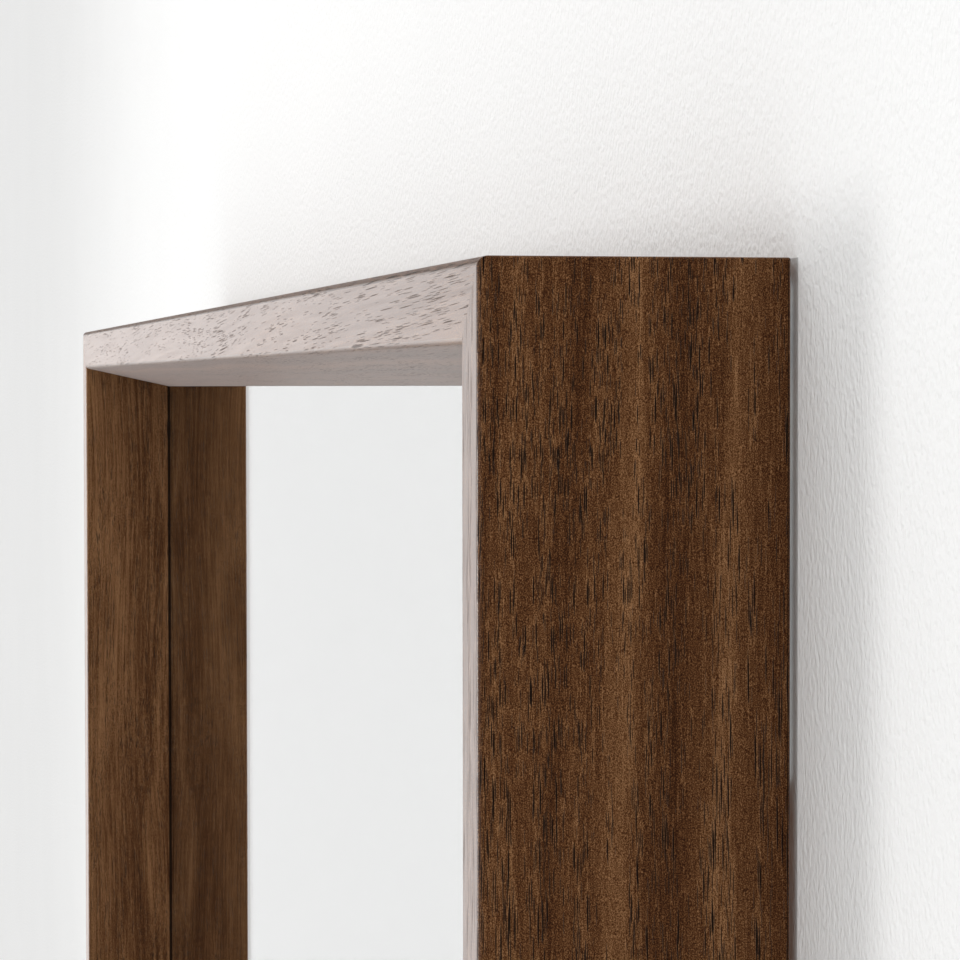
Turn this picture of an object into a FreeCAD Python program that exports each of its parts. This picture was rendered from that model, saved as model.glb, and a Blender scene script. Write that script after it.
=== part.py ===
import FreeCAD, Part
import math
import os
from FreeCAD import Vector

# Wall mirror with a deep, mitred walnut frame, in millimetres.
# X runs to the right, Y into the wall and Z up, so the mirror looks along -Y.
# The origin is the centre of the frame's back face.
# A depth into the frame is measured from the back face. An inset is measured from an outer face.

# Frame boards
frame_width = 650.0
frame_height = 650.0
frame_depth = 45.0
front_edge = 12.0
slope_run = 6.0
glass_setback = 26.5
rebate_wall = 11.0
front_round = 1.5
inner_round = 1.0
corner_round = 0.4
back_round = 0.5

# Corner keys, glued across the mitres
key_thickness = 3.0
key_reach = 6.5
key_length = 26.0
key_setback = 10.0
key_clearance = 0.1
key_inset_share = 0.72

# Mirror pane with its silvering and film
glass_thickness = 4.0
glass_gap = 2.0
glass_bevel = 0.5
silver_thickness = 0.1
film_thickness = 0.2

# Rubber blocks round the pane, two to a side, placed as shares of the side's length
block_length = 40.0
block_place_shares = (-0.25, 0.25)

# Back panel
panel_thickness = 3.0
panel_gap = 1.0

# Steel points that hold the panel, placed as shares of the side's length
point_thickness = 0.5
point_width = 8.0
point_grip = 7.0
point_reach = 8.0
point_taper = 4.0
point_clearance = 0.05
point_place_shares = (-0.36, -0.12, 0.12, 0.36)

# Corner plates with keyholes that open towards both boards
plate_thickness = 1.5
plate_leg = 72.0
plate_inset = 2.5
plate_round = 2.0
plate_clearance = 0.2
keyhole_inset = 30.0
keyhole_entry_radius = 6.0
keyhole_slot_radius = 2.2
keyhole_travel = 11.0

# Countersunk screws of the corner plates, placed as shares of the plate's leg
screw_head_radius = 2.8
screw_shank_radius = 1.45
screw_length = 12.0
screw_tip = 3.0
screw_clearance = 0.05
recess_width = 0.8
recess_span = 3.2
recess_depth = 1.0
screw_place_shares = (0.3, 0.85)

# Felt dots on the back, placed as shares of the stiles' length
bumper_radius = 4.5
bumper_thickness = 1.0
bumper_round = 0.3
bumper_place_shares = (-0.32, 0.32)

# How far every cutting shape runs past what it cuts
overrun = 5.0

# Places along Y, from the front to the back face at zero
front_y = -frame_depth
glass_front_y = front_y + glass_setback
glass_back_y = glass_front_y + glass_thickness
silver_back_y = glass_back_y + silver_thickness
film_back_y = silver_back_y + film_thickness
panel_back_y = film_back_y + panel_thickness
points_back_y = panel_back_y + point_thickness
back_y = 0.0

half_width = frame_width / 2
half_height = frame_height / 2
lip_inset = front_edge + slope_run
unit_diagonal = math.sqrt(0.5)

# Each side has the direction along it and the direction inwards, both in X and Z,
# its length, and the distance of its outer face from the centre.
sides = {
    "top": {"along": (1, 0), "inward": (0, -1), "length": frame_width, "reach": half_height},
    "right": {"along": (0, 1), "inward": (-1, 0), "length": frame_height, "reach": half_width},
    "bottom": {"along": (1, 0), "inward": (0, 1), "length": frame_width, "reach": half_height},
    "left": {"along": (0, 1), "inward": (1, 0), "length": frame_height, "reach": half_width},
}
board_names = {"top": "top_rail", "right": "right_stile", "bottom": "bottom_rail", "left": "left_stile"}

# Each corner has the signs of its X and Z.
corners = {
    "top_left": (-1, 1),
    "top_right": (1, 1),
    "bottom_left": (-1, -1),
    "bottom_right": (1, -1),
}


def prism(outline, low_y, high_y):
    """A solid with the outline given as (x, z) points, between two places along Y."""
    points = [Vector(x, low_y, z) for x, z in outline]
    face = Part.Face(Part.makePolygon(points + points[:1]))
    return face.extrude(Vector(0, high_y - low_y, 0))


def slab(inset, low_y, high_y):
    """A rectangular solid whose edges lie at this inset from the frame's outer faces."""
    x = half_width - inset
    z = half_height - inset
    return prism([(-x, -z), (x, -z), (x, z), (-x, z)], low_y, high_y)


def side_point(side, along, inset):
    """The (x, z) point of a side at a distance along it from its middle, and at an inset."""
    across = inset - side["reach"]
    return (
        along * side["along"][0] + across * side["inward"][0],
        along * side["along"][1] + across * side["inward"][1],
    )


def corner_point(corner, inset_x, inset_z):
    """The (x, z) point of a corner at an inset from each of its two outer faces."""
    sign_x, sign_z = corner
    return (sign_x * (half_width - inset_x), sign_z * (half_height - inset_z))


def edges_along_y(shape):
    """The straight edges of a shape that run along Y."""
    chosen = []
    for edge in shape.Edges:
        start, end = edge.Vertexes[0].Point, edge.Vertexes[-1].Point
        run = end.sub(start)
        if abs(run.y) > 0 and math.isclose(abs(run.y), run.Length):
            chosen.append(edge)
    return chosen


def edges_at_y(shape, y):
    """The edges of a shape that lie wholly at one place along Y."""
    return [e for e in shape.Edges if all(math.isclose(v.Y, y, abs_tol=1e-6) for v in e.Vertexes)]


# Frame boards

def frame_opening():
    """The cut through the frame that leaves the sloping inner faces in front of the glass."""
    slope = slope_run / glass_setback
    wires = []
    for y in (front_y - overrun, glass_front_y):
        inset = front_edge + slope * (y - front_y)
        x = half_width - inset
        z = half_height - inset
        points = [Vector(-x, y, -z), Vector(x, y, -z), Vector(x, y, z), Vector(-x, y, z)]
        wires.append(Part.makePolygon(points + points[:1]))
    return Part.makeLoft(wires, True, True)


def frame_ring():
    """The whole frame in one piece, with its outer edges rounded, before it is parted at the mitres."""
    block = slab(0, front_y, back_y)
    rounded_corners = block.makeFillet(corner_round, edges_along_y(block))
    block = block.makeFillet(front_round, edges_at_y(block, front_y))
    block = block.makeFillet(back_round, edges_at_y(block, back_y))
    block = block.common(rounded_corners)
    return block.cut([frame_opening(), slab(rebate_wall, glass_front_y, back_y + overrun)])


def mitre_wedge(side):
    """The space of one board, between the two mitre planes at its ends."""
    half = side["length"] / 2
    deep = lip_inset + overrun
    outline = [
        side_point(side, -half - overrun, -overrun),
        side_point(side, half + overrun, -overrun),
        side_point(side, half - deep, deep),
        side_point(side, -half + deep, deep),
    ]
    return prism(outline, front_y - overrun, back_y + overrun)


def round_inner_edge(board, side):
    """Rounds the board's front edge beside the opening."""
    edges = []
    for edge in edges_at_y(board, front_y):
        middle = edge.CenterOfMass
        across = middle.x * side["inward"][0] + middle.z * side["inward"][1]
        if math.isclose(across + side["reach"], front_edge, abs_tol=1e-6):
            edges.append(edge)
    return board.makeFillet(inner_round, edges)


# Corner keys

def corner_key(corner, grow):
    """A flat key that crosses the mitre square to it, grown all round to make its slot."""
    sign_x, sign_z = corner
    inset = key_inset_share * rebate_wall
    centre_x, centre_z = corner_point(corner, inset, inset)
    half_thick = unit_diagonal * (key_thickness / 2 + grow)
    reach = unit_diagonal * (key_reach + grow)
    outline = []
    for thick, across in ((1, 1), (1, -1), (-1, -1), (-1, 1)):
        x = centre_x + sign_x * (thick * half_thick + across * reach)
        z = centre_z + sign_z * (thick * half_thick - across * reach)
        outline.append((x, z))
    low_y = front_y + key_setback
    return prism(outline, low_y - grow, low_y + key_length + grow)


# Mirror pane and what lies behind it

def mirror_glass():
    """The pane, with its edges ground to a small bevel."""
    pane = slab(rebate_wall + glass_gap, glass_front_y, glass_back_y)
    ground = edges_at_y(pane, glass_front_y) + edges_at_y(pane, glass_back_y)
    return pane.makeChamfer(glass_bevel, ground)


def backing(low_y, high_y):
    """A layer on the back of the pane, inside its bevel."""
    return slab(rebate_wall + glass_gap + glass_bevel, low_y, high_y)


def edge_blocks(side):
    """The rubber blocks that fill the gap between one board and the pane's edge."""
    blocks = []
    for share in block_place_shares:
        middle = share * side["length"]
        ends = (middle - block_length / 2, middle + block_length / 2)
        inner = rebate_wall + glass_gap
        outline = [side_point(side, a, rebate_wall) for a in ends]
        outline += [side_point(side, a, inner) for a in reversed(ends)]
        blocks.append(prism(outline, glass_front_y, glass_back_y))
    return blocks


def retaining_points(side, grow):
    """The steel points of one side, grown all round to make their slits in the board."""
    half = point_width / 2 + grow
    tip = rebate_wall - point_grip - grow
    inner = rebate_wall + point_reach + grow
    points = []
    for share in point_place_shares:
        middle = share * side["length"]
        outline = [
            side_point(side, middle - half, inner),
            side_point(side, middle + half, inner),
            side_point(side, middle + half, tip + point_taper),
            side_point(side, middle, tip),
            side_point(side, middle - half, tip + point_taper),
        ]
        points.append(prism(outline, panel_back_y - grow, points_back_y + grow))
    return points


# Corner plates

def plate_blank(corner, grow, high_y):
    """The plate's rounded outline up to a place along Y, grown all round to make its pocket."""
    near = plate_inset - grow
    far = plate_inset + plate_leg + grow
    strip = rebate_wall + grow
    insets = [(near, near), (far, near), (far, strip), (strip, far), (near, far)]
    outline = [corner_point(corner, *pair) for pair in insets]
    blank = prism(outline, back_y - plate_thickness, high_y)
    return blank.makeFillet(plate_round + grow, edges_along_y(blank))


def keyhole(corner):
    """The entry hole and its two slots, one towards each board."""
    low_y = back_y - plate_thickness - overrun
    run = plate_thickness + 2 * overrun
    centre_x, centre_z = corner_point(corner, keyhole_inset, keyhole_inset)
    along_y = Vector(0, 1, 0)
    entry = Part.makeCylinder(keyhole_entry_radius, run, Vector(centre_x, low_y, centre_z), along_y)
    cuts = []
    ending = keyhole_inset - keyhole_travel
    for turn in (False, True):
        pairs = []
        for inset, side_step in ((keyhole_inset, 1), (keyhole_inset, -1), (ending, -1), (ending, 1)):
            across = keyhole_inset + side_step * keyhole_slot_radius
            pairs.append((inset, across) if turn else (across, inset))
        cuts.append(prism([corner_point(corner, *pair) for pair in pairs], low_y, low_y + run))
        end_pair = (ending, keyhole_inset) if turn else (keyhole_inset, ending)
        end_x, end_z = corner_point(corner, *end_pair)
        cuts.append(Part.makeCylinder(keyhole_slot_radius, run, Vector(end_x, low_y, end_z), along_y))
    return entry.fuse(cuts).removeSplitter()


def screw_places(corner):
    """Where a plate's screws stand: in the middle of the strip that lies on each board."""
    middle = (plate_inset + rebate_wall) / 2
    places = []
    for share in screw_place_shares:
        along = plate_inset + share * plate_leg
        places.append(corner_point(corner, along, middle))
        places.append(corner_point(corner, middle, along))
    return places


def turned(profile):
    """A solid turned on the Y axis from (radius, y) points."""
    points = [Vector(radius, y, 0) for radius, y in profile]
    face = Part.Face(Part.makePolygon(points + points[:1]))
    return face.revolve(Vector(0, 0, 0), Vector(0, 1, 0), 360)


def screw_hole():
    """The countersunk hole that a screw fills, open at the back face."""
    head = screw_head_radius + screw_clearance
    shank = screw_shank_radius + screw_clearance
    bottom = back_y - screw_length - screw_clearance
    mouth = back_y + overrun
    neck = back_y + shank - head
    return turned([(0, mouth), (head, mouth), (head, back_y), (shank, neck), (shank, bottom), (0, bottom)])


def plate_screw():
    """One countersunk screw on the Y axis, flush with the back face, with its cross recess."""
    neck = back_y + screw_shank_radius - screw_head_radius
    tip = back_y - screw_length
    profile = [(0, back_y), (screw_head_radius, back_y), (screw_shank_radius, neck)]
    profile += [(screw_shank_radius, tip + screw_tip), (0, tip)]
    screw = turned(profile)
    half_span = recess_span / 2
    half_wide = recess_width / 2
    for x, z in ((half_span, half_wide), (half_wide, half_span)):
        bar = prism([(-x, -z), (x, -z), (x, z), (-x, z)], back_y - recess_depth, back_y + overrun)
        screw = screw.cut(bar)
    return screw


def at_places(shape, places):
    """Copies of a shape that is centred on the Y axis, one at each (x, z) place."""
    return [shape.translated(Vector(x, 0, z)) for x, z in places]


def corner_plate(corner):
    """A plate with its keyhole and countersunk screw holes."""
    holes = at_places(screw_hole(), screw_places(corner))
    return plate_blank(corner, 0, back_y).cut([keyhole(corner)] + holes)


# Felt dots

def wall_bumpers():
    """The dots, in the middle of the stiles' back faces."""
    dot = Part.makeCylinder(bumper_radius, bumper_thickness, Vector(0, back_y, 0), Vector(0, 1, 0))
    dot = dot.makeFillet(bumper_round, edges_at_y(dot, back_y + bumper_thickness))
    places = []
    for name in ("left", "right"):
        side = sides[name]
        for share in bumper_place_shares:
            places.append(side_point(side, share * side["length"], rebate_wall / 2))
    return at_places(dot, places)


def frame_boards():
    """The four boards, parted at the mitres and cut for all that is let into them."""
    ring = frame_ring()
    cuts = []
    for corner in corners.values():
        cuts.append(corner_key(corner, key_clearance))
        cuts.append(plate_blank(corner, plate_clearance, back_y + overrun))
        cuts += at_places(screw_hole(), screw_places(corner))
    for side in sides.values():
        cuts += retaining_points(side, point_clearance)
    boards = {}
    for name, side in sides.items():
        board = round_inner_edge(ring.common(mitre_wedge(side)), side)
        boards[board_names[name]] = board.cut(cuts)
    return boards


def all_nodes():
    """Every node's name with its solids."""
    nodes = {name: [board] for name, board in frame_boards().items()}
    nodes["mirror_glass"] = [mirror_glass()]
    nodes["silver_coat"] = [backing(glass_back_y, silver_back_y)]
    nodes["safety_film"] = [backing(silver_back_y, film_back_y)]
    nodes["back_panel"] = [slab(rebate_wall + panel_gap, film_back_y, panel_back_y)]
    nodes["setting_blocks"] = edge_blocks(sides["bottom"])
    nodes["edge_spacers"] = [b for name in ("left", "right", "top") for b in edge_blocks(sides[name])]
    for name, side in sides.items():
        nodes["retaining_points_" + name] = retaining_points(side, 0)
    screw = plate_screw()
    for name, corner in corners.items():
        nodes["corner_key_" + name] = [corner_key(corner, 0)]
        nodes["corner_plate_" + name] = [corner_plate(corner)]
        nodes["plate_screws_" + name] = at_places(screw, screw_places(corner))
    nodes["wall_bumpers"] = wall_bumpers()
    return nodes


def solids_of(shapes):
    """The single solids in a list of shapes."""
    return [solid for shape in shapes for solid in shape.Solids]


def main():
    os.makedirs("parts", exist_ok=True)
    for name, shapes in all_nodes().items():
        solids = solids_of(shapes)
        if any(not solid.isValid() for solid in solids):
            raise RuntimeError("not a valid solid: " + name)
        whole = solids[0] if len(solids) == 1 else Part.makeCompound(solids)
        whole.exportStep(os.path.join("parts", name + ".step"))
        volume = sum(solid.Volume for solid in solids)
        print(f"{name}: {len(solids)} solid(s), {volume:.1f} cubic mm")


main()
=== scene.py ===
import math
from collections import namedtuple
import bmesh
import bpy
from mathutils import Matrix, Vector


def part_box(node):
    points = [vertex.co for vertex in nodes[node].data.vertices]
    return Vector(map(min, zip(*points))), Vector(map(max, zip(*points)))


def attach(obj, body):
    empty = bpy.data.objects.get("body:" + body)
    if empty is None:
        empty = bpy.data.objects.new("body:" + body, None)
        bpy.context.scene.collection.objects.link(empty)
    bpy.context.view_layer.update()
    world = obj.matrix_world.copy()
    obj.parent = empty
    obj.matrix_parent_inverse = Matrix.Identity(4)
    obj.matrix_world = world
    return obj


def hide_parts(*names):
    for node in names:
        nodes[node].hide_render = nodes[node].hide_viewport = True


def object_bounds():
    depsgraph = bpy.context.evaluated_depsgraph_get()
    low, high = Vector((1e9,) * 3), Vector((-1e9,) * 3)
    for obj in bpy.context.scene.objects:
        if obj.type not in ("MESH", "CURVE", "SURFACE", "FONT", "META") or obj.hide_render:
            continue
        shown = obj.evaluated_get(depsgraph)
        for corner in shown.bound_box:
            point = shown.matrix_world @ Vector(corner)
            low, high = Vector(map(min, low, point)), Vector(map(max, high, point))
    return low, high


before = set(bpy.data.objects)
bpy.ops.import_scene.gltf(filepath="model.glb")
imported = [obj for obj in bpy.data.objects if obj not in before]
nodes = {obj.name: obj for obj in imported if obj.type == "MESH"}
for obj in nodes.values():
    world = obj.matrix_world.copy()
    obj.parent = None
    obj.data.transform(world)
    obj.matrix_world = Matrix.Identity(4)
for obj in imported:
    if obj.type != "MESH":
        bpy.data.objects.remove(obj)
cad_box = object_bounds()

# The mirror hangs with its back to the wall: X runs right, Y into the wall and Z up, in metres.
# Materials are written in millimetres, so that grain and texture have the sizes of the real thing.
MILLIMETRES = 1000.0


# Building materials

class Shader:
    """One material's nodes, with a short call for each kind of node that is used here."""

    def __init__(self, name):
        self.material = bpy.data.materials.new(name)
        self.material.use_nodes = True
        self.nodes = self.material.node_tree.nodes
        self.links = self.material.node_tree.links
        self.surface = next(n for n in self.nodes if n.type == "BSDF_PRINCIPLED")

    def feed(self, socket, value):
        """Links another node's output to a socket, or sets the socket to a plain value."""
        if isinstance(value, bpy.types.NodeSocket):
            self.links.new(value, socket)
        else:
            socket.default_value = value

    def math(self, operation, first, second=0.0):
        node = self.nodes.new("ShaderNodeMath")
        node.operation = operation
        self.feed(node.inputs[0], first)
        self.feed(node.inputs[1], second)
        return node.outputs[0]

    def vector(self, operation, first, second=(0.0, 0.0, 0.0)):
        node = self.nodes.new("ShaderNodeVectorMath")
        node.operation = operation
        self.feed(node.inputs[0], first)
        self.feed(node.inputs[1], second)
        return node.outputs["Value" if operation == "LENGTH" else "Vector"]

    def split(self, vector):
        node = self.nodes.new("ShaderNodeSeparateXYZ")
        self.feed(node.inputs[0], vector)
        return node.outputs

    def combine(self, x, y, z):
        node = self.nodes.new("ShaderNodeCombineXYZ")
        for socket, value in zip(node.inputs, (x, y, z)):
            self.feed(socket, value)
        return node.outputs[0]

    def place(self):
        """The place on the object, in millimetres."""
        metres = self.nodes.new("ShaderNodeTexCoord").outputs["Object"]
        return self.vector("MULTIPLY", metres, (MILLIMETRES,) * 3)

    def stretched(self, place, across, along):
        """A place measured in cells of a size across the grain and another along it."""
        return self.vector("DIVIDE", place, (across, across, along))

    def noise(self, place, detail=0.0, roughness=0.5, colour=False):
        node = self.nodes.new("ShaderNodeTexNoise")
        self.feed(node.inputs["Vector"], place)
        node.inputs["Scale"].default_value = 1.0
        node.inputs["Detail"].default_value = detail
        node.inputs["Roughness"].default_value = roughness
        return node.outputs[1 if colour else 0]

    def noise_line(self, value, detail, roughness=0.5):
        """Noise along one number."""
        node = self.nodes.new("ShaderNodeTexNoise")
        node.noise_dimensions = "1D"
        self.feed(node.inputs["W"], value)
        node.inputs["Scale"].default_value = 1.0
        node.inputs["Detail"].default_value = detail
        node.inputs["Roughness"].default_value = roughness
        return node.outputs[0]

    def cells(self, place):
        """The distance from the nearest cell's point, and three random numbers for that cell."""
        node = self.nodes.new("ShaderNodeTexVoronoi")
        self.feed(node.inputs["Vector"], place)
        node.inputs["Scale"].default_value = 1.0
        return node.outputs["Distance"], self.split(node.outputs["Color"])

    def fade(self, value, low, high, to_low=0.0, to_high=1.0):
        """A smooth step of a value, from to_low at low to to_high at high."""
        node = self.nodes.new("ShaderNodeMapRange")
        node.interpolation_type = "SMOOTHSTEP"
        for socket, number in zip(node.inputs, (value, low, high, to_low, to_high)):
            self.feed(socket, number)
        return node.outputs[0]

    def scale(self, value, to_low, to_high):
        """A value from 0 to 1 carried over to another range."""
        node = self.nodes.new("ShaderNodeMapRange")
        for socket, number in zip(node.inputs, (value, 0.0, 1.0, to_low, to_high)):
            self.feed(socket, number)
        return node.outputs[0]

    def ramp(self, value, stops):
        """A colour for a value from 0 to 1, through (value, colour) stops."""
        node = self.nodes.new("ShaderNodeValToRGB")
        elements = node.color_ramp.elements
        while len(elements) < len(stops):
            elements.new(1.0)
        for element, (at, colour) in zip(elements, stops):
            element.position = at
            element.color = (*colour, 1.0)
        self.feed(node.inputs[0], value)
        return node.outputs[0]

    def mix(self, amount, first, second):
        node = self.nodes.new("ShaderNodeMix")
        node.data_type = "RGBA"
        self.feed(node.inputs[0], amount)
        for socket, colour in ((node.inputs[6], first), (node.inputs[7], second)):
            self.feed(socket, (*colour, 1.0) if isinstance(colour, tuple) else colour)
        return node.outputs[2]

    def darken(self, colour, value):
        """A colour times a number."""
        return self.vector("MULTIPLY", colour, self.combine(value, value, value))

    def bump(self, height, depth):
        """A normal that follows a height, where 1 stands depth millimetres out."""
        node = self.nodes.new("ShaderNodeBump")
        node.inputs["Distance"].default_value = depth / MILLIMETRES
        self.feed(node.inputs["Height"], height)
        return node.outputs[0]

    def finish(self, **sockets):
        """Feeds the surface's sockets, named with underscores for spaces, and gives the material."""
        for name, value in sockets.items():
            socket = self.surface.inputs[name.replace("_", " ")]
            self.feed(socket, (*value, 1.0) if isinstance(value, tuple) else value)
        return self.material


# Walnut

# How a board was cut from its tree, with lengths in millimetres: the axis that its grain runs along, the
# slope at which it leans away, and how far it sways. The pith is the tree's middle, across the grain.
# start shifts the figure along the grain, and drift is how much lighter the board's high end is.
# streak is how strong its long streaks are. Its pores are at most pore_width wide, and pore_share says how
# full of them its low and its high end are.
Cut = namedtuple(
    "Cut",
    "along lean sway pith start drift band_width streak pore_width pore_length pore_share tone",
)
half_length = 325.0

# Sizes of what is in the wood, in millimetres across the grain and along it.
wander_size = (60.0, 130.0)
ripple_size = (9.0, 70.0)
streak_size = (0.9, 60.0)
fibre_size = (0.2, 7.0)
grit_size = (0.14, 0.18)
pore_zone_size = (2.4, 45.0)
ripple_depth = 5.0
pore_depth = 0.05

# How far each of them moves the tone, which runs from 0 to 1.
band_swing = 0.72
fibre_swing = 0.45
grit_swing = 1.3
# Painted highlight: a pale rim round each pore, lifting the tone as light catching a pore's edge would.
pore_rim_highlight_lift = 0.24
tones = (
    (0.0, (0.014, 0.004, 0.001)),
    (0.2, (0.034, 0.01, 0.003)),
    (0.35, (0.062, 0.022, 0.007)),
    (0.5, (0.095, 0.039, 0.014)),
    (0.68, (0.145, 0.068, 0.028)),
    (1.0, (0.27, 0.14, 0.065)),
)
pore_colour = (0.003, 0.002, 0.0015)

# What lies on a board's surface. The coat of lacquer is full on the front and is gone where the surface has
# turned to bare_facing, which is the Y of its normal. The last field is how dark the line of painted shade
# along the glass is, a painted shadow in the crease where the lip meets the glass.
Finish = namedtuple("Finish", "coat bare_facing sheen sheen_tint roughness seam")
front_finish = Finish(
    coat=0.72, bare_facing=-0.97, sheen=0.32, sheen_tint=(1.0, 0.7, 0.59), roughness=0.36, seam=0.0,
)
slope_finish = Finish(
    coat=0.0, bare_facing=-0.97, sheen=0.42, sheen_tint=(1.0, 0.89, 0.86), roughness=0.36, seam=1.0,
)
outer_edge_finish = Finish(
    coat=0.6, bare_facing=-0.9, sheen=0.16, sheen_tint=(1.0, 0.95, 0.93), roughness=0.6, seam=0.0,
)
inner_edge_finish = Finish(
    coat=0.5, bare_facing=-0.8, sheen=0.34, sheen_tint=(1.0, 0.85, 0.8), roughness=0.36, seam=0.0,
)
front_facing = -0.985
glass_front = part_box("mirror_glass")[0].y * MILLIMETRES
# Painted shade: a near-black strip in the wood's colour just in front of the glass stands for the shadow in
# the crease where the lip meets it.
painted_seam_shade_width = 0.45
painted_seam_shade_colour = (0.003, 0.001, 0.0005)


def grain_place(s, cut):
    """The place in a board, in millimetres: across the grain from the pith, and along the grain."""
    x, y, z = s.split(s.place())
    across, lengthwise = (z, x) if cut.along == "X" else (x, z)
    shifted = s.math("SUBTRACT", across, s.math("MULTIPLY", lengthwise, cut.lean))
    straight = s.vector("SUBTRACT", s.combine(shifted, y, lengthwise), (*cut.pith, cut.start))
    wander = s.noise(s.stretched(straight, *wander_size), colour=True)
    sway = s.vector("MULTIPLY", s.vector("SUBTRACT", wander, (0.5, 0.5, 0.5)), (cut.sway, cut.sway, 0.0))
    return s.vector("ADD", straight, sway)


def ring_bands(s, grain, width):
    """Light and dark bands that follow the growth rings, of uneven width."""
    across = s.vector("LENGTH", s.vector("MULTIPLY", grain, (1.0, 1.0, 0.0)))
    ripple = s.noise(s.stretched(grain, *ripple_size), detail=2.0)
    ring = s.math("ADD", across, s.math("MULTIPLY", ripple, ripple_depth))
    return s.noise_line(s.math("DIVIDE", ring, width), detail=3.0, roughness=0.55)


def pores(s, grain, width, spacing, share):
    """Needle-shaped pores along the grain, one to a cell, in the share of the cells that has any.

    Gives how deep inside a pore a place is, from 0 to 1, and how much of the painted highlight along a
    pore's edge it has.
    """
    reach = 0.42
    distance, chance = s.cells(s.stretched(grain, width / (2.0 * reach), spacing))
    size = s.scale(chance[0], 0.5 * reach, reach)
    out = s.math("DIVIDE", distance, size)
    kept = s.math("LESS_THAN", chance[1], share)
    inside = s.math("MULTIPLY", s.fade(out, 0.8, 1.0, 1.0, 0.0), kept)
    rim = s.math("MULTIPLY", s.fade(out, 0.95, 1.2), s.fade(out, 1.3, 1.9, 1.0, 0.0))
    return inside, s.math("MULTIPLY", rim, kept)


def swing(s, value, amount):
    """How far a value from 0 to 1 pulls the tone up or down."""
    return s.math("MULTIPLY", s.math("SUBTRACT", value, 0.5), amount)


class Figure:
    """A board's figure: its colour, and its streaks, fibres, grit and pores, each from 0 to 1."""

    def __init__(self, s, cut):
        grain = grain_place(s, cut)
        bands = ring_bands(s, grain, cut.band_width)
        self.streaks = s.noise(s.stretched(grain, *streak_size), detail=3.0, roughness=0.65)
        self.fibres = s.noise(s.stretched(grain, *fibre_size), detail=1.0)
        self.grit = s.noise(s.stretched(grain, *grit_size))

        zones = s.noise(s.stretched(grain, *pore_zone_size), detail=1.0)
        lengthwise = s.split(s.place())[cut.along]
        most = s.fade(lengthwise, -half_length, half_length, *cut.pore_share)
        gathered = s.math("ADD", s.fade(zones, 0.42, 0.6), s.fade(bands, 0.3, 0.6, 0.3, 0.0))
        crowd = s.math("MULTIPLY", gathered, most)
        coarse, coarse_rim_highlight = pores(s, grain, cut.pore_width, 1.2 * cut.pore_length, crowd)
        fine, fine_rim_highlight = pores(s, grain, 0.75 * cut.pore_width, 0.8 * cut.pore_length, crowd)
        self.pore = s.math("MAXIMUM", coarse, s.math("MULTIPLY", fine, 0.8))
        rim = s.math("MAXIMUM", coarse_rim_highlight, s.math("MULTIPLY", fine_rim_highlight, 0.6))

        level = s.math("ADD", s.math("MULTIPLY", lengthwise, cut.drift / half_length), cut.tone)
        layers = (
            (bands, band_swing),
            (self.streaks, cut.streak),
            (self.fibres, fibre_swing),
            (self.grit, grit_swing),
        )
        for value, amount in layers:
            level = s.math("ADD", level, swing(s, value, amount))
        # Painted highlight: the tone is lifted in a pale rim round each pore.
        level = s.math("ADD", level, s.math("MULTIPLY", rim, pore_rim_highlight_lift))
        self.colour = s.mix(self.pore, s.ramp(level, tones), pore_colour)


def walnut(name, cut, finish):
    """Walnut with a finish. Its open pores take no lacquer."""
    s = Shader(name)
    figure = Figure(s, cut)
    facing = s.split(s.nodes.new("ShaderNodeNewGeometry").outputs["Normal"])["Y"]
    sealed = s.math("SUBTRACT", s.math("ADD", swing(s, figure.streaks, 1.0), 1.0), figure.pore)
    lacquer = s.fade(facing, front_facing, finish.bare_facing, finish.coat, 0.0)
    fibre_roughness = s.math("MULTIPLY", figure.fibres, 0.12)
    rough = s.math("ADD", fibre_roughness, s.math("MULTIPLY", figure.pore, 0.3))
    relief = s.math("MULTIPLY", s.math("ADD", figure.fibres, figure.grit), 0.4)
    # Painted shade: the wood goes near-black in a thin strip just in front of the glass, as a painted
    # shadow in that crease.
    depth = s.split(s.place())["Y"]
    painted_seam_shade_start = glass_front - 1.3 * painted_seam_shade_width
    painted_seam_shade_full = glass_front - 0.7 * painted_seam_shade_width
    seam = s.fade(depth, painted_seam_shade_start, painted_seam_shade_full, 0.0, finish.seam)
    return s.finish(
        Base_Color=s.mix(seam, figure.colour, painted_seam_shade_colour),
        Roughness=s.math("ADD", rough, finish.roughness),
        IOR=1.5,
        Coat_Weight=s.math("MULTIPLY", lacquer, sealed),
        Coat_Roughness=0.1,
        Coat_IOR=1.5,
        Sheen_Weight=finish.sheen,
        Sheen_Roughness=0.35,
        Sheen_Tint=finish.sheen_tint,
        Specular_Tint=(0.25, 0.14, 0.08),
        Normal=s.bump(s.math("SUBTRACT", relief, figure.pore), pore_depth),
    )


# Pane

def clear_glass():
    """Float glass, a little green in its depth."""
    s = Shader("clear_glass")
    tint = s.noise(s.stretched(s.place(), 40.0, 40.0), detail=1.0)
    return s.finish(
        Base_Color=s.ramp(tint, [(0.3, (0.972, 0.988, 0.982)), (0.7, (0.978, 0.99, 0.985))]),
        Roughness=0.0,
        IOR=1.52,
        Transmission_Weight=1.0,
    )


def silvering():
    """The silver film behind the glass."""
    s = Shader("silvering")
    cloud = s.noise(s.stretched(s.place(), 60.0, 60.0), detail=2.0)
    return s.finish(
        Base_Color=s.ramp(cloud, [(0.3, (0.74, 0.737, 0.737)), (0.7, (0.75, 0.747, 0.747))]),
        Metallic=1.0,
        Roughness=0.0,
    )


# Back of the mirror

def safety_film():
    """Milky plastic film with a fine scrim."""
    s = Shader("film")
    weave = s.noise(s.stretched(s.place(), 0.6, 0.6), detail=2.0)
    return s.finish(
        Base_Color=s.ramp(weave, [(0.3, (0.5, 0.52, 0.53)), (0.7, (0.66, 0.67, 0.68))]),
        Roughness=s.scale(weave, 0.4, 0.55),
        Normal=s.bump(weave, 0.05),
    )


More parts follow.
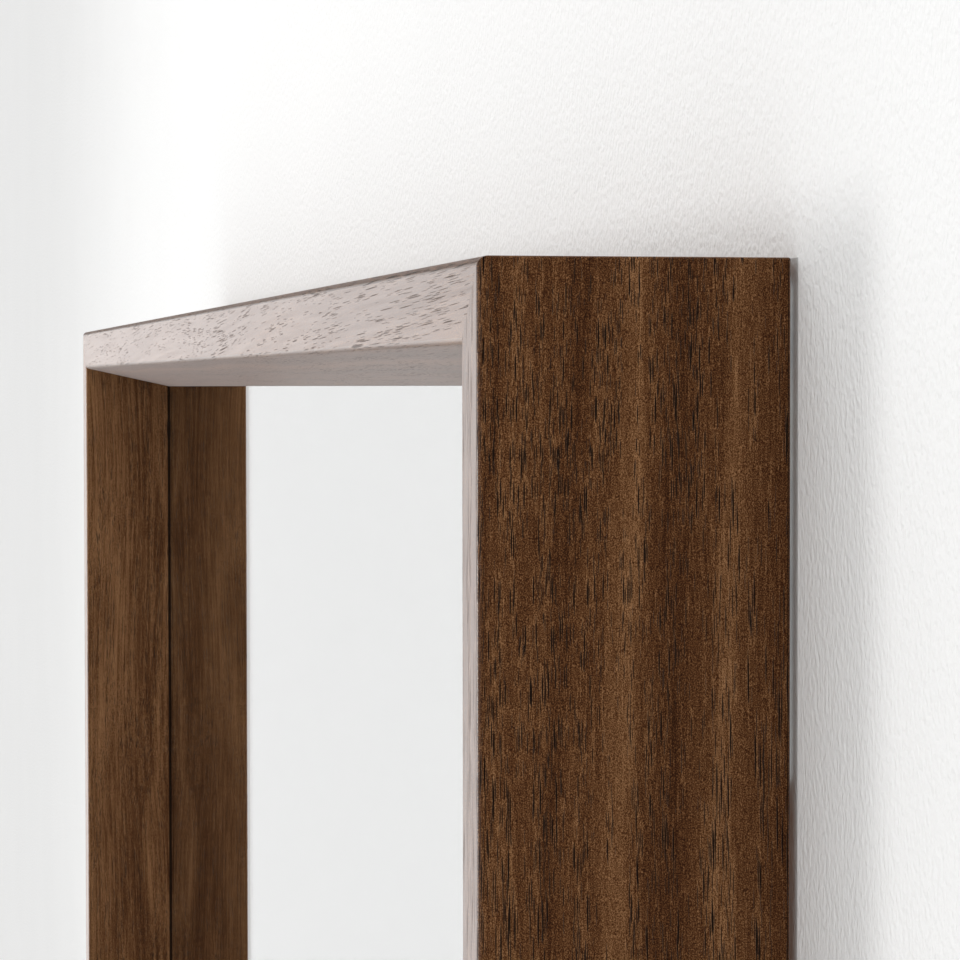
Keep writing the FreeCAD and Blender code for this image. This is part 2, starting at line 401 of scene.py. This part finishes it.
def hardboard():
    """Pressed brown fibreboard with its felted back."""
    s = Shader("hardboard")
    place = s.place()
    clumps = s.noise(s.stretched(place, 5.0, 5.0), detail=4.0, roughness=0.7)
    hairs = s.noise(s.vector("DIVIDE", place, (2.6, 0.5, 0.45)), detail=2.0)
    cross_hairs = s.noise(s.vector("DIVIDE", place, (0.45, 0.5, 2.6)), detail=2.0)
    fibre = s.math("MAXIMUM", hairs, cross_hairs)
    colour = s.ramp(clumps, [(0.25, (0.2, 0.112, 0.06)), (0.75, (0.28, 0.168, 0.096))])
    return s.finish(
        Base_Color=s.darken(colour, s.fade(fibre, 0.35, 0.8, 0.7, 1.35)),
        Roughness=s.scale(fibre, 0.7, 0.9),
        Normal=s.bump(fibre, 0.18),
    )


def rubber():
    """Black rubber with a dusty bloom."""
    s = Shader("black_rubber")
    bloom = s.noise(s.stretched(s.place(), 3.0, 3.0), detail=3.0)
    return s.finish(
        Base_Color=s.ramp(bloom, [(0.35, (0.012, 0.012, 0.012)), (0.75, (0.035, 0.034, 0.033))]),
        Roughness=s.scale(bloom, 0.6, 0.8),
        Normal=s.bump(bloom, 0.05),
    )


def steel(name, light, dark, across, along, rough):
    """Bare metal with rolling marks along one way."""
    s = Shader(name)
    place = s.place()
    marks = s.noise(s.stretched(place, across, along), detail=2.0)
    stains = s.noise(s.stretched(place, 6.0, 6.0), detail=3.0)
    colour = s.mix(s.fade(stains, 0.35, 0.7), dark, light)
    return s.finish(
        Base_Color=s.darken(colour, s.scale(marks, 0.85, 1.1)),
        Metallic=1.0,
        Roughness=s.math("ADD", s.scale(marks, 0.0, 0.14), rough),
        Normal=s.bump(marks, 0.01),
    )


def felt():
    """Grey wool felt with loose fibres."""
    s = Shader("felt")
    place = s.place()
    fuzz = s.noise(s.stretched(place, 0.35, 0.35), detail=3.0, roughness=0.65)
    clumps = s.noise(s.stretched(place, 1.8, 1.8), detail=1.0)
    colour = s.ramp(clumps, [(0.3, (0.06, 0.055, 0.05)), (0.7, (0.12, 0.11, 0.1))])
    return s.finish(
        Base_Color=s.darken(colour, s.fade(fuzz, 0.25, 0.75, 0.55, 1.4)),
        Roughness=0.95,
        Sheen_Weight=0.3,
        Normal=s.bump(fuzz, 0.3),
    )


def beech():
    """Pale beech with its short flecks."""
    s = Shader("key_wood")
    place = s.place()
    bands = s.noise(s.vector("DIVIDE", place, (3.0, 40.0, 3.0)), detail=2.0)
    flecks = s.noise(s.vector("DIVIDE", place, (0.25, 1.8, 0.25)), detail=1.0)
    colour = s.ramp(bands, [(0.3, (0.42, 0.25, 0.14)), (0.7, (0.56, 0.37, 0.22))])
    return s.finish(
        Base_Color=s.darken(colour, s.fade(flecks, 0.6, 0.75, 1.0, 0.7)),
        Roughness=0.6,
        Normal=s.bump(flecks, 0.03),
    )


# Shapes

def ground_sheet(name, low, high, bevel, materials):
    """A flat sheet between two corners with ground rims. Its back face has the last material."""
    shape = bmesh.new()
    bmesh.ops.create_cube(shape, size=1.0)
    for vertex in shape.verts:
        share = vertex.co + Vector((0.5, 0.5, 0.5))
        vertex.co = [low[i] + share[i] * (high[i] - low[i]) for i in range(3)]
    rims = [e for e in shape.edges if abs(e.verts[0].co.y - e.verts[1].co.y) < bevel]
    bmesh.ops.bevel(shape, geom=rims, offset=bevel, segments=3, profile=0.5, affect="EDGES")
    for face in shape.faces:
        face.material_index = len(materials) - 1 if face.normal.y > 0.99 else 0
    mesh = bpy.data.meshes.new(name)
    shape.to_mesh(mesh)
    shape.free()
    for material in materials:
        mesh.materials.append(material)
    sheet = bpy.data.objects.new(name, mesh)
    bpy.context.scene.collection.objects.link(sheet)
    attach(sheet, "root")
    return sheet


def mirror_pane():
    """The glass, silvered on its back face, and the coat's own layer a hair behind it."""
    hair = 0.00002
    silver = silvering()
    low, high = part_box("mirror_glass")
    coat_low, coat_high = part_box("silver_coat")
    pane = ground_sheet("mirror_pane", low, high, coat_low.x - low.x, [clear_glass(), silver])
    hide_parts("mirror_glass")
    coat_low.y += hair
    coat = ground_sheet("silver_layer", coat_low, coat_high, hair, [silver])
    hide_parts("silver_coat")


def dress(material, *names):
    """Gives CAD nodes a material."""
    for name in names:
        for slot in nodes[name].material_slots:
            slot.material = material


cuts = {
    "right_stile": Cut(
        along="Z", lean=0.03, sway=5.0, pith=(262.0, -98.0), start=410.0, drift=0.0,
        band_width=7.0, streak=0.4, pore_width=0.27, pore_length=13.0, pore_share=(1.3, 1.3), tone=0.39,
    ),
    "left_stile": Cut(
        along="Z", lean=0.0, sway=14.0, pith=(-372.0, -34.0), start=-730.0, drift=0.15,
        band_width=4.0, streak=1.1, pore_width=0.2, pore_length=8.0, pore_share=(0.5, 0.5), tone=0.45,
    ),
    "top_rail": Cut(
        along="X", lean=0.03, sway=5.0, pith=(330.0, 25.0), start=190.0, drift=0.0,
        band_width=5.0, streak=0.55, pore_width=0.19, pore_length=15.0, pore_share=(0.3, 0.58), tone=0.5,
    ),
    "bottom_rail": Cut(
        along="X", lean=0.0, sway=10.0, pith=(-290.0, -80.0), start=-560.0, drift=0.0,
        band_width=6.0, streak=0.55, pore_width=0.25, pore_length=9.0, pore_share=(0.8, 0.8), tone=0.5,
    ),
}
finishes = (front_finish, slope_finish, outer_edge_finish, inner_edge_finish)
square_turn = 0.05
slope_turn = 0.3
front_turn = 0.995


def finish_of(face):
    """Which finish a board's face has: flat and square faces, the inner slope, or the rounded edges."""
    turned = abs(face.normal.y)
    if turned < square_turn or turned > front_turn:
        return front_finish
    if turned < slope_turn:
        return slope_finish
    outward = face.normal.x * face.center.x + face.normal.z * face.center.z
    return outer_edge_finish if outward > 0.0 else inner_edge_finish


def wooden_board(name, cut):
    """A board's mesh, with one wood and its finishes in place of the CAD node's plain material."""
    mesh = nodes[name].data.copy()
    mesh.materials.clear()
    for number, finish in enumerate(finishes):
        mesh.materials.append(walnut(f"{name}_wood_{number}", cut, finish))
    for face in mesh.polygons:
        face.material_index = finishes.index(finish_of(face))
    board = bpy.data.objects.new(name + "_wood", mesh)
    bpy.context.scene.collection.objects.link(board)
    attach(board, "root")
    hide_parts(name)


def dress_mirror():
    corners = ("top_left", "top_right", "bottom_left", "bottom_right")
    sides = ("top", "right", "bottom", "left")
    for name, cut in cuts.items():
        wooden_board(name, cut)
    mirror_pane()
    dress(safety_film(), "safety_film")
    dress(hardboard(), "back_panel")
    dress(rubber(), "setting_blocks", "edge_spacers")
    bright = steel(
        "bright_steel", light=(0.5, 0.48, 0.45), dark=(0.34, 0.33, 0.31), across=0.3, along=6.0, rough=0.25,
    )
    zinc = steel(
        "zinc_steel", light=(0.66, 0.67, 0.66), dark=(0.5, 0.52, 0.53), across=0.6, along=4.0, rough=0.3,
    )
    dress(bright, *("retaining_points_" + side for side in sides))
    dress(bright, *("plate_screws_" + corner for corner in corners))
    dress(zinc, *("corner_plate_" + corner for corner in corners))
    dress(beech(), *("corner_key_" + corner for corner in corners))
    dress(felt(), "wall_bumpers")


# Stage

wall_left = -2.4
wall_right = 1.6
wall_top = 1.5
floor_drop = 1.4
floor_reach = 2.0
wall_hole_inset = 0.012


def flat_mesh(name, points, faces):
    mesh = bpy.data.meshes.new(name)
    mesh.from_pydata(points, [], faces)
    stage_object = bpy.data.objects.new(name, mesh)
    bpy.context.scene.collection.objects.link(stage_object)
    return stage_object


def wall_paint(name, shade):
    """Pale wall paint with a roller's stipple, seen only from the room's side."""
    s = Shader(name)
    place = s.place()
    stipple = s.noise(s.stretched(place, 1.1, 1.6), detail=2.0, roughness=0.55)
    cloud = s.noise(s.stretched(place, 90.0, 90.0), detail=2.0)
    colour = s.ramp(cloud, [(0.3, (0.985, 0.985, 0.98)), (0.7, (1.0, 1.0, 0.995))])
    s.finish(Base_Color=s.darken(colour, shade), Roughness=0.75, Normal=s.bump(stipple, 0.5))
    see_through = s.nodes.new("ShaderNodeBsdfTransparent")
    one_sided = s.nodes.new("ShaderNodeMixShader")
    output = next(n for n in s.nodes if n.type == "OUTPUT_MATERIAL")
    s.feed(one_sided.inputs[0], s.nodes.new("ShaderNodeNewGeometry").outputs["Backfacing"])
    s.feed(one_sided.inputs[1], s.surface.outputs[0])
    s.feed(one_sided.inputs[2], see_through.outputs[0])
    s.feed(output.inputs["Surface"], one_sided.outputs[0])
    return s.material


def floor_paint():
    s = Shader("floor_paint")
    cloud = s.noise(s.stretched(s.place(), 300.0, 300.0), detail=3.0)
    return s.finish(
        Base_Color=s.ramp(cloud, [(0.3, (0.6, 0.595, 0.585)), (0.7, (0.64, 0.635, 0.62))]),
        Roughness=0.6,
    )


def rectangle(low, high, inset, y):
    """The four corners of an upright rectangle at a depth, an inset smaller than a box on each side."""
    left, right = low.x + inset, high.x - inset
    bottom, top = low.z + inset, high.z - inset
    return [(left, y, bottom), (right, y, bottom), (right, y, top), (left, y, top)]


def wall_ring(name, outer, inner, paint):
    """The part of the wall between two rectangles."""
    faces = [(i, (i + 1) % 4, 4 + (i + 1) % 4, 4 + i) for i in range(4)]
    ring = flat_mesh(name, outer + inner, faces)
    ring.data.materials.append(paint)
    return ring


def build_stage():
    """A wall behind the mirror, open behind the frame so that light reaches its back, and a floor.

    The wall's rim under the frame lets light through too. Its paint is darkened as painted shade, standing
    for the shadow in the gap under the frame.
    """
    low, high = cad_box
    y = high.y
    outline = rectangle(low, high, 0.0, y)
    hole = rectangle(low, high, wall_hole_inset, y)
    wall_low = Vector((wall_left, y, -floor_drop))
    wall_high = Vector((wall_right, y, wall_top))
    outer = rectangle(wall_low, wall_high, 0.0, y)
    wall_ring("wall", outer, outline, wall_paint("wall_paint", 0.866))
    # Painted shade: the rim's paint is darker than the wall's to stand for the shadow in the gap between
    # frame and wall.
    rim = wall_ring("wall_rim", outline, hole, wall_paint("rim_painted_shade", 0.48))
    rim.visible_shadow = False
    rim.visible_diffuse = False
    rim.visible_glossy = False

    reach = floor_reach
    points = [(-reach, -reach, -floor_drop), (reach, -reach, -floor_drop)]
    points += [(reach, reach, -floor_drop), (-reach, reach, -floor_drop)]
    floor = flat_mesh("floor", points, [(0, 1, 2, 3)])
    floor.data.materials.append(floor_paint())


# Light

def aim(thing, target):
    thing.rotation_euler = (Vector(target) - thing.location).to_track_quat("-Z", "Y").to_euler()


def soft_light(name, place, target, size, power):
    lamp = bpy.data.lights.new(name, "AREA")
    lamp.shape = "SQUARE"
    lamp.size = size
    lamp.energy = power
    light = bpy.data.objects.new(name, lamp)
    light.location = place
    bpy.context.scene.collection.objects.link(light)
    bpy.context.view_layer.update()
    aim(light, target)


class Room:
    """The light that comes from all round, smooth from below to above and from right to left."""

    def __init__(self, world):
        self.nodes = world.node_tree.nodes
        self.links = world.node_tree.links
        self.background = next(n for n in self.nodes if n.type == "BACKGROUND")
        split = self.nodes.new("ShaderNodeSeparateXYZ")
        self.links.new(self.nodes.new("ShaderNodeTexCoord").outputs["Generated"], split.inputs[0])
        self.direction = split.outputs

    def fade(self, axis, low, high, to_low, to_high):
        node = self.nodes.new("ShaderNodeMapRange")
        node.interpolation_type = "SMOOTHSTEP"
        self.links.new(self.direction[axis], node.inputs[0])
        for socket, number in zip(list(node.inputs)[1:], (low, high, to_low, to_high)):
            socket.default_value = number
        return node.outputs[0]

    def times(self, first, second):
        node = self.nodes.new("ShaderNodeMath")
        node.operation = "MULTIPLY"
        self.links.new(first, node.inputs[0])
        self.links.new(second, node.inputs[1])
        return node.outputs[0]

    def fill(self, level, below, above, right, left, right_panel):
        """Sets the horizon's level, and the shares of it in the other directions and the right panel."""
        low = self.fade("Z", -0.9, -0.15, below * level, level)
        upright = self.times(low, self.fade("Z", 0.05, 0.9, 1.0, above))
        sideways = self.fade("X", -1.0, 1.0, left, right)
        lit = self.times(sideways, self.fade("X", 0.75, 0.97, 1.0, right_panel))
        self.links.new(self.times(upright, lit), self.background.inputs["Strength"])
        self.background.inputs["Color"].default_value = (1.0, 1.0, 1.0, 1.0)


def light_studio():
    """A soft light from the front left and one behind for the back, in a pale room.

    The room is brighter towards the left, and has a bright panel at the far right.
    """
    key_distance = 2.6
    key_turn = math.radians(31.0)
    key_rise = math.radians(1.0)
    spot = bpy.data.lights.new("key_light", "SPOT")
    spot.shadow_soft_size = 0.33
    spot.spot_size = math.radians(56.0)
    spot.spot_blend = 1.0
    spot.energy = 84.0
    key = bpy.data.objects.new("key_light", spot)
    key.location = key_distance * Vector((
        -math.sin(key_turn) * math.cos(key_rise),
        -math.cos(key_turn) * math.cos(key_rise),
        math.sin(key_rise),
    ))
    bpy.context.scene.collection.objects.link(key)
    aim(key, (0.3, 0.0, 0.25))
    soft_light("back_light", place=(1.2, 2.4, 1.4), target=(0.0, 0.0, 0.0), size=1.6, power=20.0)

    world = bpy.data.worlds.new("studio")
    bpy.context.scene.world = world
    world.use_nodes = True
    room = Room(world)
    room.fill(level=0.885, below=0.6, above=1.2, right=0.86, left=1.26, right_panel=2.2)
    bpy.context.scene.view_settings.view_transform = "Standard"


# Camera

picture_side = 960
sensor_width = 36.0
focal_pixels = 3279.2
camera_turn = math.radians(11.675)
camera_tilt = math.radians(-1.643)
camera_roll = math.radians(-0.073)
camera_from_corner = Vector((0.44343, -0.09139, -0.01802))


def place_camera():
    """A long lens to the right of the frame, level with its top, that looks along the wall."""
    low, high = cad_box
    corner = Vector((high.x, low.y, high.z))
    flat = math.cos(camera_tilt)
    forward = Vector((-math.cos(camera_turn) * flat, math.sin(camera_turn) * flat, math.sin(camera_tilt)))
    right = Vector((math.sin(camera_turn), math.cos(camera_turn), 0.0))
    up = right.cross(forward)
    rolled_right = right * math.cos(camera_roll) + up * math.sin(camera_roll)
    rolled_up = up * math.cos(camera_roll) - right * math.sin(camera_roll)
    lens = bpy.data.cameras.new("camera")
    lens.sensor_width = sensor_width
    lens.lens = focal_pixels * sensor_width / picture_side
    lens.clip_start = 0.01
    camera = bpy.data.objects.new("camera", lens)
    turn = Matrix((rolled_right, rolled_up, -forward)).transposed().to_4x4()
    camera.matrix_world = Matrix.Translation(corner + camera_from_corner) @ turn
    bpy.context.scene.collection.objects.link(camera)
    bpy.context.scene.camera = camera


dress_mirror()
build_stage()
light_studio()
place_camera()
